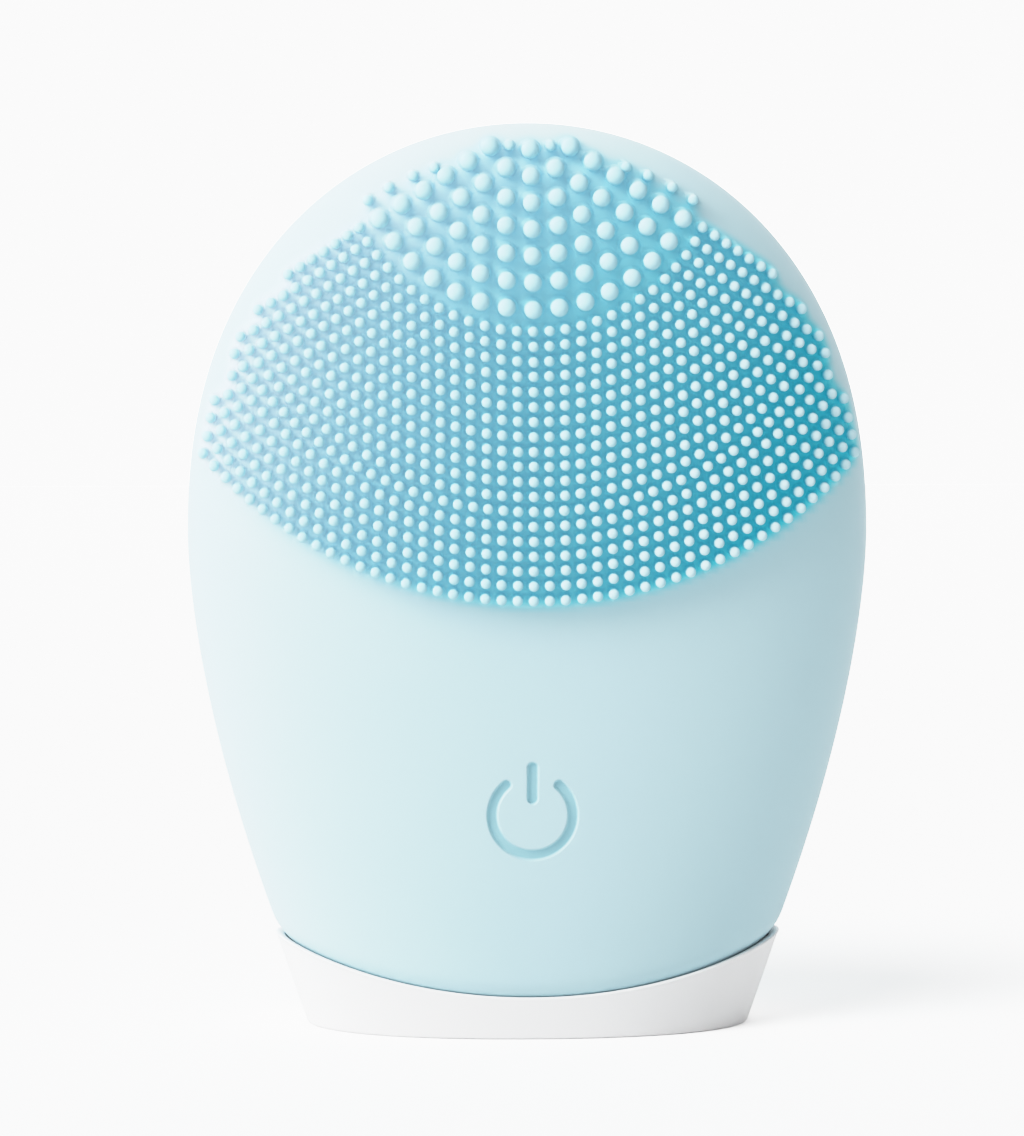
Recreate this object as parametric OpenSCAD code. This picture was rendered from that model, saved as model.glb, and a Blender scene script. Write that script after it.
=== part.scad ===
// Facial cleansing brush: egg-shaped silicone-skinned handpiece standing in a
// low charging stand. Millimetres. Origin: middle of the stand's footprint, on
// the ground. +X to the right, -Y (the front) towards the bristles, +Z up.

/* [Model] */
// Which piece to draw

/* [Body] */
// Height of the product standing in its stand
overall_height = 106.3; // [104:0.1:109]
// Widest width of the egg
body_width = 80.2; // [78:0.1:83]
// Height above the ground at which the egg is widest
widest_height = 57.9; // [56:0.1:60]
// Front skin in front of the parting plane, bristles left out
front_depth = 17.5; // [17.2:0.1:19]
// Rear skin behind the parting plane
rear_depth = 16; // [15.8:0.1:18]
// Fullness of the plan section: 2 is an ellipse, more is squarer
section_power = 2.25; // [2.15:0.05:2.4]
// Silicone thickness
sleeve_wall = 1.6; // [1.5:0.05:1.7]
// Hard shell thickness
shell_wall = 1.5; // [1.4:0.05:1.6]

/* [Bristles] */
// Diameter of a fine touch-point
fine_diameter = 1.2; // [1.0:0.05:1.3]
// Free length of a fine touch-point
fine_length = 2.6; // [2:0.1:3.2]
// Row spacing of the fine touch-points
fine_row = 1.71; // [1.69:0.005:1.73]
// Spacing of fine touch-points along a row
fine_step = 1.8; // [1.78:0.005:1.84]
// Diameter of a large touch-point
large_diameter = 2.06; // [1.8:0.02:2.3]
// Free length of a large touch-point
large_length = 3.1; // [2.4:0.1:3.6]
// Row spacing of the large touch-points
large_row = 3.04; // [3:0.01:3.08]
// Spacing of large touch-points along a row
large_step = 3.04; // [3.03:0.01:3.08]

/* [Stand] */
// Height of the stand's rim at the middle of the front
rim_height = 4.95; // [4.9:0.05:5.2]
// Radius of the hollow top edge, seen from the front
saddle_radius = 77; // [75:1:82]
// How far the egg sits below the rim
pocket_depth = 1.0; // [0.9:0.05:1.1]
// Half width of the oval locating boss in the stand
boss_radius = 8.8; // [8.6:0.1:9]
// Half depth of that boss
boss_depth = 5; // [4.9:0.1:5.1]
// Top of the locating boss
boss_top = 9.5; // [9.4:0.1:9.8]

/* [Power button] */
// Height of the button centre
button_height = 26.5; // [26:0.1:27]
// Radius of the soft button area
button_radius = 8.8; // [8.5:0.1:9]
// Radius of the icon's ring, at the middle of its stroke
icon_radius = 4.7; // [4.3:0.1:5]
// Stroke width of the icon
icon_stroke = 1.2; // [1:0.05:1.4]
// Depth of the icon
icon_depth = 0.4; // [0.3:0.05:0.5]

/* [Drive] */
// Motor can diameter
motor_diameter = 11; // [10.6:0.1:11.2]
// Motor can length
motor_length = 18; // [17:0.5:18]
// Shaft diameter
shaft_diameter = 1.5; // [1.2:0.1:1.6]
// Swing radius of the eccentric weight
weight_radius = 4.8; // [4.4:0.1:4.8]

/* [Hidden] */
$fn = 48;
half_body = body_width / 2;
// Outline above the widest height, then the taper below it
crown_z_power = 2.285;
crown_x_power = 2.024;
width_taper = 0.372;
width_taper_power = 1.64;
depth_taper = 0.171;
depth_taper_power = 1.6;
edge_radius = 3;         // rounding of the egg's bottom edge
egg_floor = rim_height - pocket_depth;
seat_gap = 0.1;          // egg to stand, vertical
boss_gap = 0.5;          // boss to the recess in the egg
recess_radius = boss_radius + boss_gap;
recess_depth = boss_depth + boss_gap;
recess_top = boss_top + boss_gap;
// Insets of the hard shell's two faces from the skin
shell_outer = sleeve_wall + 0.05;
shell_inner = shell_outer + shell_wall;
// Points round a section, and [sections above, sections below] the waist
outer_points = 56;
outer_rings = [18, 18];
inner_points = 40;
inner_rings = [12, 14];

// ---- outline of the egg; inset is the distance inside the skin
function crown_taper(z, inset) =
  pow(max(0, 1 - pow((z - widest_height) / (overall_height - inset - widest_height),
    crown_z_power)), 1 / crown_x_power);
// Height of the outline above the waist at a place x
function crown_z(x, inset) = widest_height + (overall_height - inset - widest_height)
  * pow(1 - pow(x / (half_body - inset), crown_x_power), 1 / crown_z_power);
function below_waist(z) = (widest_height - z) / widest_height;
function half_width(z, inset = 0) = z > widest_height
  ? (half_body - inset) * crown_taper(z, inset)
  : half_body * (1 - width_taper * pow(below_waist(z), width_taper_power)) - inset;
function half_depth(z, depth, inset) = z > widest_height
  ? (depth - inset) * crown_taper(z, inset)
  : depth * (1 - depth_taper * pow(below_waist(z), depth_taper_power)) - inset;
function signed_pow(value, power) = value < 0 ? -pow(-value, power) : pow(value, power);
function section_x(angle) = signed_pow(cos(angle), 2 / section_power);
function section_y(angle) = signed_pow(sin(angle), 2 / section_power);
function side_depth(angle) = sin(angle) < 0 ? front_depth : rear_depth;
function saddle_lift(x) = saddle_radius - sqrt(saddle_radius * saddle_radius - x * x);
// Depth of the front or rear skin at a place
function skin(x, z, depth, inset = 0) =
  let (share = min(1, abs(x) / max(half_width(z, inset), 0.001)))
  half_depth(z, depth, inset) * pow(max(0, 1 - pow(share, section_power)), 1 / section_power);

// A point of the section at nominal height z, drawn in by draw, with the
// floor's saddle blended in by blend. Two passes settle the lifted height.
function egg_point(angle, z, inset, draw, blend) =
  let (x0 = (half_width(z, inset) - draw) * section_x(angle),
       z1 = z + blend * saddle_lift(x0),
       x1 = (half_width(z1, inset) - draw) * section_x(angle),
       z2 = z + blend * saddle_lift(x1),
       x2 = (half_width(z2, inset) - draw) * section_x(angle),
       z3 = z + blend * saddle_lift(x2))
  [(half_width(z3, inset) - draw) * section_x(angle),
   (half_depth(z3, side_depth(angle), inset) - draw) * section_y(angle), z3];
function saddle_blend(z, bottom) =
  pow(max(0, (widest_height - z) / (widest_height - bottom)), 2);
function full_turn(count) = [for (i = [0:count - 1]) 360 * i / count];
function half_turn(count, start) = [for (i = [0:count]) start + 180 * i / count];
function oval(angles, radius, depth, z) =
  [for (a = angles) [radius * cos(a), depth * sin(a), z]];
// From edge point to the oval of the given radius and depth, on the saddle
function toward_oval(edge, angle, blend, radius, depth, base) =
  let (x = edge[0] * (1 - blend) + radius * cos(angle) * blend,
       y = edge[1] * (1 - blend) + depth * sin(angle) * blend)
  [x, y, base + saddle_lift(x)];

// Sections from the crown down, round the bottom edge, along the floor and up
// the recess.
function egg_rings(inset, angles, rings) =
  let (bottom = egg_floor + inset, radius = max(0.8, edge_radius - inset),
       edge_top = bottom + radius,
       oval_radius = recess_radius + inset, oval_depth = recess_depth + inset)
  concat(
    [for (i = [1:rings[0]])
      let (z = widest_height + (overall_height - inset - widest_height) * cos(90 * i / rings[0]))
      [for (a = angles) egg_point(a, z, inset, 0, 0)]],
    [for (i = [1:rings[1]])
      let (z = widest_height + (edge_top - widest_height) * i / rings[1])
      [for (a = angles) egg_point(a, z, inset, 0, saddle_blend(z, edge_top))]],
    [for (turn = [22.5:22.5:90]) let (z = bottom + radius * (1 - sin(turn)))
      [for (a = angles) egg_point(a, z, inset, radius * (1 - cos(turn)), 1)]],
    [for (t = [0.25:0.25:1]) [for (a = angles)
      toward_oval(egg_point(a, bottom, inset, radius, 1), a, t, oval_radius, oval_depth, bottom)]],
    [oval(angles, oval_radius, oval_depth, recess_top + inset)]);

function flat(rings) = [for (ring = rings) for (point = ring) point];
// Faces of a closed loft between two end points; rings turn anticlockwise seen
// from the first end point. n is the points in a ring, k the number of rings.
function loft_faces(n, k) = concat(
  [for (i = [0:n - 1]) [k * n, (i + 1) % n, i]],
  [for (j = [0:k - 2]) for (i = [0:n - 1])
    [j * n + i, j * n + (i + 1) % n, (j + 1) * n + i]],
  [for (j = [0:k - 2]) for (i = [0:n - 1])
    [j * n + (i + 1) % n, (j + 1) * n + (i + 1) % n, (j + 1) * n + i]],
  [for (i = [0:n - 1]) [k * n + 1, (k - 1) * n + i, (k - 1) * n + (i + 1) % n]]);

module loft(rings, first, last) {
  polyhedron(concat(flat(rings), [first, last]), loft_faces(len(rings[0]), len(rings)),
    convexity = 6);
}
module egg(inset, count, rings) {
  loft(egg_rings(inset, full_turn(count), rings),
    [0, 0, overall_height - inset], [0, 0, recess_top + inset]);
}

// Half of the hard shell: an outer and an inner skin joined along the parting
// plane. It covers the half turn from start: 180 is the front, 0 the rear.
module half_shell(start) {
  spans = inner_points / 2;
  angles = half_turn(spans, start);
  outer = egg_rings(shell_outer, angles, inner_rings);
  inner = egg_rings(shell_inner, angles, inner_rings);
  cols = spans + 1;
  rows = len(outer);
  shift = cols * rows;         // from an outer point to the inner one behind it
  end_row = (rows - 1) * cols; // first point of the last ring
  outer_crown = 2 * shift;
  outer_recess = outer_crown + 1;
  inner_crown = outer_crown + 2;
  inner_recess = outer_crown + 3;
  grid = concat(
    [for (j = [0:rows - 2]) for (i = [0:spans - 1])
      [j * cols + i, j * cols + i + 1, (j + 1) * cols + i]],
    [for (j = [0:rows - 2]) for (i = [0:spans - 1])
      [j * cols + i + 1, (j + 1) * cols + i + 1, (j + 1) * cols + i]]);
  polyhedron(
    concat(flat(outer), flat(inner),
      [[0, 0, overall_height - shell_outer], [0, 0, recess_top + shell_outer],
       [0, 0, overall_height - shell_inner], [0, 0, recess_top + shell_inner]]),
    concat(
      grid,
      [for (f = grid) [f[0] + shift, f[2] + shift, f[1] + shift]],
      [for (i = [0:spans - 1]) [outer_crown, i + 1, i]],
      [for (i = [0:spans - 1]) [outer_recess, end_row + i, end_row + i + 1]],
      [for (i = [0:spans - 1]) [inner_crown, shift + i, shift + i + 1]],
      [for (i = [0:spans - 1]) [inner_recess, shift + end_row + i + 1, shift + end_row + i]],
      // the two side strips on the parting plane, then crown and recess ends
      [for (j = [0:rows - 2]) let (here = j * cols, next = here + cols)
        for (f = [[here, next, shift + here], [next, shift + next, shift + here]]) f],
      [for (j = [0:rows - 2]) let (here = j * cols + spans, next = here + cols)
        for (f = [[here, shift + here, next], [next, shift + here, shift + next]]) f],
      [[outer_crown, 0, shift], [outer_crown, shift, inner_crown],
       [outer_crown, shift + spans, spans], [outer_crown, inner_crown, shift + spans]],
      [[outer_recess, shift + end_row, end_row],
       [outer_recess, inner_recess, shift + end_row],
       [outer_recess, end_row + spans, shift + end_row + spans],
       [outer_recess, shift + end_row + spans, inner_recess]]),
    convexity = 6);
}

// ---- small shared shapes
module cyl_y(x, z, y0, y1, radius) {
  translate([x, y1, z]) rotate([90, 0, 0]) cylinder(r = radius, h = y1 - y0);
}
module cyl_z(x, y, z0, z1, radius) {
  translate([x, y, z0]) cylinder(r = radius, h = z1 - z0);
}
module ring(z0, z1, inner, outer) {
  rotate_extrude() translate([inner, z0]) square([outer - inner, z1 - z0]);
}
module box(low, high) { translate(low) cube(high - low); }
module boxes(corners) { for (pair = corners) box(pair[0], pair[1]); }
module rod(from, to, radius) {
  span = to - from;
  length = norm(span);
  translate(from) rotate([0, acos(span[2] / length), atan2(span[1], span[0])])
    cylinder(r = radius, h = length);
}
module wire(points, radius) {
  for (i = [0:len(points) - 2]) rod(points[i], points[i + 1], radius);
  for (i = [1:len(points) - 2]) translate(points[i]) sphere(r = radius * 1.12);
}
// Two crossed bars facing along Y; at is [x, z], span_y is [y0, y1].
module cross_y(at, span_y, half_length, half_thick) {
  for (t = [0, 90]) translate([at[0], span_y[0], at[1]]) rotate([0, t, 0])
    box([-half_length, 0, -half_thick], [half_length, span_y[1] - span_y[0], half_thick]);
}
// Screw along Y with a cross cut; head, shank and cut are [y0, y1, radius],
// the cut's third entry being its half length.
module screw_y(at, head, shank, cut, cut_half_thick) {
  difference() {
    union() {
      cyl_y(at[0], at[1], head[0], head[1], head[2]);
      cyl_y(at[0], at[1], shank[0], shank[1], shank[2]);
    }
    cross_y(at, [cut[0], cut[1]], cut[2], cut_half_thick);
  }
}
// Rounded plan outline; size is [half width, front depth, rear depth].
module plan(size) {
  count = 64;
  polygon([for (i = [0:count - 1]) let (angle = 360 * i / count)
    [size[0] * section_x(angle), (sin(angle) < 0 ? size[1] : size[2]) * section_y(angle)]]);
}
// Rounded oblong facing along Y, from y back to y - length
module usb_block(y, length, width, height, corner) {
  translate([0, y, usb_z]) rotate([90, 0, 0]) linear_extrude(length) union() {
    square([width, height - 2 * corner], center = true);
    square([width - 2 * corner, height], center = true);
    for (x = [-1, 1] * (width / 2 - corner), z = [-1, 1] * (height / 2 - corner))
      translate([x, z]) circle(r = corner);
  }
}

// ---- stand
ground_gap = 0.4;        // stand wall above the ground, on its pad
foot_chamfer = 0.4;
rim_thickness = 0.9;
rim_round = rim_thickness / 2;
stand_wall = 1.6;
stand_floor = 1.0;
stand_gap = 0.4;         // stand wall outside the egg's outline, at the sides
side_flare = 0.6;        // spread of the foot at the ground, fading out above
side_flare_height = 11.4;
side_flare_power = 1.2;
front_flare = 0.2;       // the same towards front and rear
front_flare_height = 6;
first_rim_z = 8;         // starting height for finding the rim
stand_drop = pocket_depth + seat_gap;      // rim to pocket floor
stand_ceiling = stand_drop + stand_floor;  // rim to the underside of that floor
boss_wall = 1.2;
boss_edge = 0.6;
boss_inner_radius = boss_radius - boss_wall;
boss_inner_depth = boss_depth - boss_wall;
stand_screw_x = [-21, 21];
pad_size = [19.2, 10, 9]; // half width, front depth, rear depth
pcb_top = 2.11;           // underside of the parts on the stand's board
usb_z = 1.72;

function stand_half_width(z) = half_width(z) + stand_gap
  + side_flare * pow(max(0, 1 - z / side_flare_height), side_flare_power);
function stand_half_depth(z, depth) =
  half_depth(z, depth, 0) + front_flare * max(0, 1 - z / front_flare_height);
// A point on the stand's outer wall drawn in by draw, at height z or at the rim
function wall_point(angle, z, draw) =
  [(stand_half_width(z) - draw) * section_x(angle),
   (stand_half_depth(z, side_depth(angle)) - draw) * section_y(angle), z];
function rim_z(angle, draw, z) =
  rim_height + saddle_lift((stand_half_width(z) - draw) * section_x(angle));
function rim_point(angle, draw, rise) =
  let (z = rim_z(angle, draw, rim_z(angle, draw, first_rim_z)))
  wall_point(angle, z, draw) + [0, 0, rise];
function floor_point(angle, draw, blend, radius, depth, rise) =
  toward_oval(rim_point(angle, draw, 0), angle, blend, radius, depth, rim_height + rise);

module stand_shell() {
  angles = full_turn(outer_points);
  chamfer_top = ground_gap + foot_chamfer;
  // from the boss top over the floor and rim, down the wall and back inside
  rings = concat(
    [oval(angles, boss_radius - boss_edge, boss_depth - boss_edge, boss_top)],
    [oval(angles, boss_radius, boss_depth, boss_top - boss_edge)],
    [for (t = [1:-0.25:0]) [for (a = angles)
      floor_point(a, rim_thickness, t, boss_radius, boss_depth, -stand_drop)]],
    [[for (a = angles) rim_point(a, rim_thickness, -rim_round)]],
    [for (turn = [150, 120, 90, 60, 30]) [for (a = angles)
      rim_point(a, rim_round * (1 - cos(turn)), rim_round * (sin(turn) - 1))]],
    [for (t = [0:0.25:1]) [for (a = angles)
      wall_point(a, rim_point(a, 0, -rim_round)[2] * (1 - t) + chamfer_top * t, 0)]],
    [[for (a = angles) wall_point(a, ground_gap, foot_chamfer)]],
    [[for (a = angles) wall_point(a, ground_gap, stand_wall)]],
    [[for (a = angles) let (ceiling = rim_point(a, stand_wall, -stand_ceiling))
      wall_point(a, max(ground_gap + 0.9, ceiling[2] * 0.5), stand_wall)]],
    [for (t = [0, 0.34, 0.67, 1]) [for (a = angles)
      floor_point(a, stand_wall, t, boss_inner_radius, boss_inner_depth, -stand_ceiling)]],
    [oval(angles, boss_inner_radius, boss_inner_depth, boss_top - boss_wall)]);
  difference() {
    union() {
      loft(rings, [0, 0, boss_top], [0, 0, boss_top - boss_wall]);
      for (x = stand_screw_x)
        cyl_z(x, 0, 1.25, rim_height + saddle_lift(x) - stand_ceiling + 0.5, 2.2);
    }
    for (x = stand_screw_x) cyl_z(x, 0, 1, 5, 0.83);
    usb_block(16, 5, 7.9, 2.4, 0.5);
  }
}
module stand_bottom_cover() {
  draw = stand_wall + 0.12;
  difference() {
    union() {
      translate([0, 0, ground_gap]) linear_extrude(0.8)
        plan([stand_half_width(ground_gap) - draw,
          stand_half_depth(ground_gap, front_depth) - draw,
          stand_half_depth(ground_gap, rear_depth) - draw]);
      cyl_z(0, 0, 1, 2.55, 3.4);
    }
    for (x = stand_screw_x) {
      cyl_z(x, 0, 0, 0.95, 1.75);
      cyl_z(x, 0, 0, 2, 0.9);
    }
    translate([0, 0, -1]) linear_extrude(1.6) plan(pad_size + [0.1, 0.1, 0.1]);
    box([-4.3, 7.2, 0], [4.3, 12.4, 3]);
  }
}
module stand_base_pad() { linear_extrude(0.58) plan(pad_size); }
module stand_screws() {
  for (x = stand_screw_x) difference() {
    union() {
      cyl_z(x, 0, 0.5, 0.93, 1.6);
      cyl_z(x, 0, 0.9, 4.6, 0.8);
    }
    for (t = [0, 90]) translate([x, 0, 0.45]) rotate(t) box([-1, -0.18, 0], [1, 0.18, 0.3]);
  }
}
module stand_pcb() {
  difference() {
    translate([0, 0, 1.3]) linear_extrude(0.8) plan([18, 10.6, 9.9]);
    cyl_z(0, 0, 1, 3, 3.8);
    box([-3.95, 6.9, 1], [3.95, 12, 3]);
  }
}
module stand_pcb_parts() {
  boxes([[[11.5, -2, pcb_top], [15, 1.5, 2.9]], [[-15.2, -1.6, pcb_top], [-12, 1.6, 3.1]]]);
  for (y = [-5, -3.2]) box([12, y, pcb_top], [13.6, y + 0.8, 2.6]);
  for (y = [3.2, 4.8]) box([-13.8, y, pcb_top], [-12.2, y + 0.8, 2.6]);
  for (x = [-16.2, 15.6]) box([x, -0.4, pcb_top], [x + 0.6, 0.9, 2.5]);
}
module usb_socket() {
  difference() {
    usb_block(13.15, 5.2, 7.5, 2.1, 0.4);
    box([-3.3, 9, usb_z - 0.75], [3.3, 14, usb_z + 0.75]);
  }
  box([-2.4, 8.9, usb_z - 0.1], [2.4, 12.6, usb_z + 0.3]);
}
module transmit_coil() {
  for (z = [3.0:0.6:7.2]) ring(z, z + 0.55, 1.85, 3.35);
}
module transmit_ferrite() {
  cyl_z(0, 0, 2.58, 2.95, 3.5);
  cyl_z(0, 0, 2.9, 8.2, 1.8);
}
module transmit_leads() {
  for (x = [-1, 1]) wire([[x * 3.55, 0, 4.6], [x * 4.6, 0, 3.1], [x * 6, -1.2, 2.27]], 0.15);
}

// ---- handpiece outside
module silicone_sleeve() {
  difference() {
    egg(0, outer_points, outer_rings);
    egg(sleeve_wall, inner_points, inner_rings);
    cyl_y(0, button_height, -30, -8, button_radius + 0.15);
  }
}

// A touch-point: slightly tapered shaft and domed tip, rooted in the silicone
module touch_point(x, z, radius, free_length) {
  root = skin(x, z, front_depth, 0.9);
  shaft = skin(x, z, front_depth) + free_length - root - radius;
  translate([x, -root, z]) rotate([90, 0, 0]) {
    cylinder(r1 = radius * 1.08, r2 = radius * 0.95, h = shaft);
    translate([0, 0, shaft]) sphere(r = radius);
  }
}
degrees_per_radian = 57.29578;
rows_z = overall_height - 1.35;   // centre of the large rows
fine_top = rows_z - 22.58;        // lowest point of the first fine row
large_first_radius = 20.05;
first_lower_row = 12;
last_fine_row = 18;
crown_row_x = [2.4, 11.1, 13.6, 16.4, 18.8];
// Each fine row is an arc; the centres of the first few rows sit a little higher.
function row_z(row) = rows_z - 1 + max(0, 1 - 0.15 * row);
function row_radius(row) = row_z(row) - fine_top + fine_row * row;
// Pitch along a row, growing away from row 8; the first row of the lower set
// is spaced a little closer.
function row_step(row) = (fine_step + (row < 8 ? 0.001 : 0.0005) * pow(row - 8, 2))
  * (row == first_lower_row ? 0.965 : 1);
function in_field(x, z) = abs(x) < half_width(z, 1.38 + 0.0038 * pow(max(0, z - 68), 2));
module fine_point(x, z) { touch_point(x, z, fine_diameter / 2, fine_length); }
module fine_arc(row) {
  radius = row_radius(row);
  step = row_step(row) / radius * degrees_per_radian;
  for (i = [-24:24])
    let (angle = i * step, x = radius * sin(angle), z = row_z(row) - radius * cos(angle))
      if (in_field(x, z)) fine_point(x, z);
}
module upper_fine_bristles() {
  for (row = [0:first_lower_row - 1]) fine_arc(row);
  // a short row along the crown, outside the large touch-points
  for (x = crown_row_x, side = [-1, 1])
    fine_point(side * x, crown_z(x, x < 5 ? 2.6 : 3.4));
}
module lower_fine_bristles() {
  for (row = [first_lower_row:last_fine_row]) fine_arc(row);
}
module large_bristles() {
  for (row = [0:6])
    let (radius = large_first_radius - large_row * row,
         step = large_step / radius * degrees_per_radian)
      for (i = [-7:7]) let (angle = i * step)
        if (abs(angle) < 62.6 + 3.2 * max(0, row - 2))
          touch_point(radius * sin(angle), rows_z - radius * cos(angle),
            large_diameter / 2, large_length);
}

// ---- handpiece hard shell
shell_screw_xz = [[-20, 31], [20, 31], [-19, 84], [19, 84]];
module front_shell() {
  difference() {
    union() {
      half_shell(180);
      for (p = shell_screw_xz) difference() {
        cyl_y(p[0], p[1], -skin(p[0], p[1], front_depth, 2.6), -0.85, 2.4);
        cyl_y(p[0], p[1], -7.5, 0, 1.02);
      }
    }
    cyl_y(0, button_height, -30, -8, button_radius + 0.4);
  }
}
module rear_shell() {
  difference() {
    union() {
      half_shell(0);
      for (p = shell_screw_xz)
        cyl_y(p[0], p[1], 0.85, skin(p[0], p[1], rear_depth, 2.95), 2.7);
    }
    for (p = shell_screw_xz) {
      cyl_y(p[0], p[1], 0, 20, 1.15);
      cyl_y(p[0], p[1], 5.5, 20, 2.05);
    }
  }
}
module shell_screws() {
  for (p = shell_screw_xz)
    screw_y(p, [5.52, 6.7, 1.9], [-6.8, 5.6, 1.0], [6.3, 7.3, 1.1], 0.2);
}

// ---- handpiece inside
motor_y = -7;
motor_z = 58;                 // underside of the end cap
motor_top = motor_z + motor_length;
motor_radius = motor_diameter / 2;
motor_seat = motor_radius + 0.05;
shaft_radius = shaft_diameter / 2;
shaft_bore = shaft_radius + 0.04;
clamp_xz = [[-9.2, 67], [9.2, 67]];
clamp_front = motor_y - 0.95;
clamp_back = motor_y - 0.05;
weight_bottom = 77.6;
weight_top = 82.8;
board_front = -7;
parts_back = board_front - 0.01;  // parts on the board's front face
switch_back = board_front - 0.02;
post_front = -6;
socket_back = post_front - 0.01;  // sockets on the board's rear face
pcb_posts = [[-12.5, 19.5], [12.5, 19.5], [-12.5, 42.5], [12.5, 42.5]];
battery_half = 15;
battery_bottom = 38.5;
battery_top = 67;
lead_hole = [13, 71.5];
coil_z = recess_top + shell_inner + 0.1;

module chassis() {
  difference() {
    union() {
      difference() {
        rotate([90, 0, 0]) linear_extrude(1.6, center = true)
          polygon(concat(
            [for (z = [17:5:97]) [half_width(z, shell_inner + 0.35), z]],
            [for (z = [97:-5:17]) [-half_width(z, shell_inner + 0.35), z]]));
        box([-3, -1, 84], [3, 1, 92]);
      }
      // shelf over the coil stack
      cyl_z(0, 0, 14.95, 16, 8.6);
      box([-6, -0.8, 15.5], [6, 0.8, 18]);
      // motor trough
      box([-7, motor_y, 60], [7, -0.7, 74]);
      for (p = clamp_xz) cyl_y(p[0], p[1], motor_y, -0.7, 2.3);
      for (p = pcb_posts) cyl_y(p[0], p[1], post_front, -0.7, 2);
      // battery walls
      for (x = [-16.7, 15.6]) box([x, 0.7, 38], [x + 1.1, 5.5, 68]);
      for (z = [36.5, 68.4]) box([-10, 0.7, z], [10, 5.5, z + 1.1]);
    }
    cyl_z(0, motor_y, 55, 80, motor_seat);
    for (p = clamp_xz) cyl_y(p[0], p[1], motor_y - 1, -2, 0.82);
    for (p = pcb_posts) cyl_y(p[0], p[1], post_front - 1, -2, 0.72);
    for (p = shell_screw_xz) cyl_y(p[0], p[1], -5, 5, 1.3);
    cyl_y(lead_hole[0], lead_hole[1], -3, 3, 1.5);
    cyl_y(0, 48.5, -3, 3, 2.2);
  }
}
module main_pcb() {
  difference() {
    box([-15, board_front, 17.3], [15, -6.02, 45]);
    for (p = pcb_posts) cyl_y(p[0], p[1], -8, -5, 0.95);
  }
}
module main_pcb_parts() {
  boxes([
    [[-9.5, -7.95, 34], [-4.5, parts_back, 39]],
    [[4.2, -8.1, 35.2], [7.2, parts_back, 38.2]],
    [[8.8, -8.6, 29], [12, parts_back, 32.2]]]);
  for (z = [22, 24, 26, 28]) box([-9.6, -7.55, z], [-8, parts_back, z + 0.8]);
  for (z = [22, 24]) box([6.8, -7.6, z], [8.4, parts_back, z + 0.8]);
  // lead sockets, open at the top: [x, outer half width, inner half width]
  for (s = [[0, 3, 2.4], [-7.2, 2, 1.5], [7.2, 2, 1.5]]) difference() {
    box([s[0] - s[1], socket_back, 39.5], [s[0] + s[1], -3.2, 43.5]);
    box([s[0] - s[2], -5.4, 40.6], [s[0] + s[2], -3.8, 44]);
  }
}
module pcb_screws() {
  for (p = pcb_posts)
    screw_y(p, [-7.9, -7.02, 1.5], [-7.1, -2.6, 0.7], [-8, -7.65, 0.9], 0.15);
}
module tact_switch() {
  difference() {
    union() {
      box([-3, -10.4, button_height - 3], [3, switch_back, button_height + 3]);
      for (x = [-4.3, 3.1], z = [-2.3, 1.6])
        box([x, -7.5, button_height + z], [x + 1.2, switch_back, button_height + z + 0.7]);
    }
    cyl_y(0, button_height, -11, -9, 1.68);
    for (x = [-2.4, 2.4], z = [-2.4, 2.4]) cyl_y(x, button_height + z, -11, -10.2, 0.35);
  }
}
module status_led() {
  box([-0.8, -7.6, 31.2], [0.8, switch_back, 32]);
  box([-0.5, -7.9, 31.25], [0.5, -7.55, 31.95]);
}
module battery_cell() {
  sides = [-battery_half, battery_half];
  difference() {
    union() {
      box([-battery_half, 1.3, battery_bottom], [battery_half, 7.3, battery_top]);
      for (x = sides) cyl_z(x * 0.98, 4.3, battery_bottom, battery_top, 0.8);
      box([-14, 3.9, battery_top - 0.5], [14, 4.5, battery_top + 1]);
    }
    for (x = sides, y = [1.3, 7.3])
      translate([x, y, 37]) rotate(45) box([-0.5, -0.5, 0], [0.5, 0.5, 33]);
  }
}
module battery_tape() { for (z = [42, 58]) box([-11, 0.82, z], [11, 1.28, z + 6]); }
module battery_leads() {
  for (s = [-1, 1]) let (hole_x = s * 0.55 + lead_hole[0], socket_x = s * 1.2 + 7.2)
    wire([[s * 0.9 + 12.2, 4.2, 68.25], [hole_x, 2.2, lead_hole[1]],
      [hole_x, -2.4, lead_hole[1]], [hole_x, -2.8, 50 + s * 0.9],
      [socket_x, -4.6, 46.5], [socket_x, -4.6, 43.7]], 0.4);
}
module receive_coil() {
  for (r = [3:0.72:7.4]) ring(coil_z, coil_z + 0.7, r, r + 0.62);
}
module receive_ferrite() { cyl_z(0, 0, coil_z + 0.75, coil_z + 1.25, 8.2); }
module receive_leads() {
  for (s = [-1, 1]) let (socket_x = s * 0.9 - 7.2)
    wire([[s * 8.05, -0.2, coil_z + 0.4], [s * 8.9, -0.8, coil_z + 0.8],
      [s * 9.3, -2, 16.2], [s * 8.6 - 1, -4.6, 17.8],
      [socket_x, -4.3, 37], [socket_x, -4.6, 39.3]], 0.3);
}
module motor_can() {
  difference() {
    union() {
      cyl_z(0, motor_y, motor_z + 1.5, motor_top, motor_radius);
      cyl_z(0, motor_y, motor_top - 0.1, motor_top + 0.7, 2);
    }
    cyl_z(0, motor_y, motor_z, motor_top - 1.2, motor_radius - 0.5);
    cyl_z(0, motor_y, motor_z, motor_z + 30, shaft_bore);
  }
}
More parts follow.
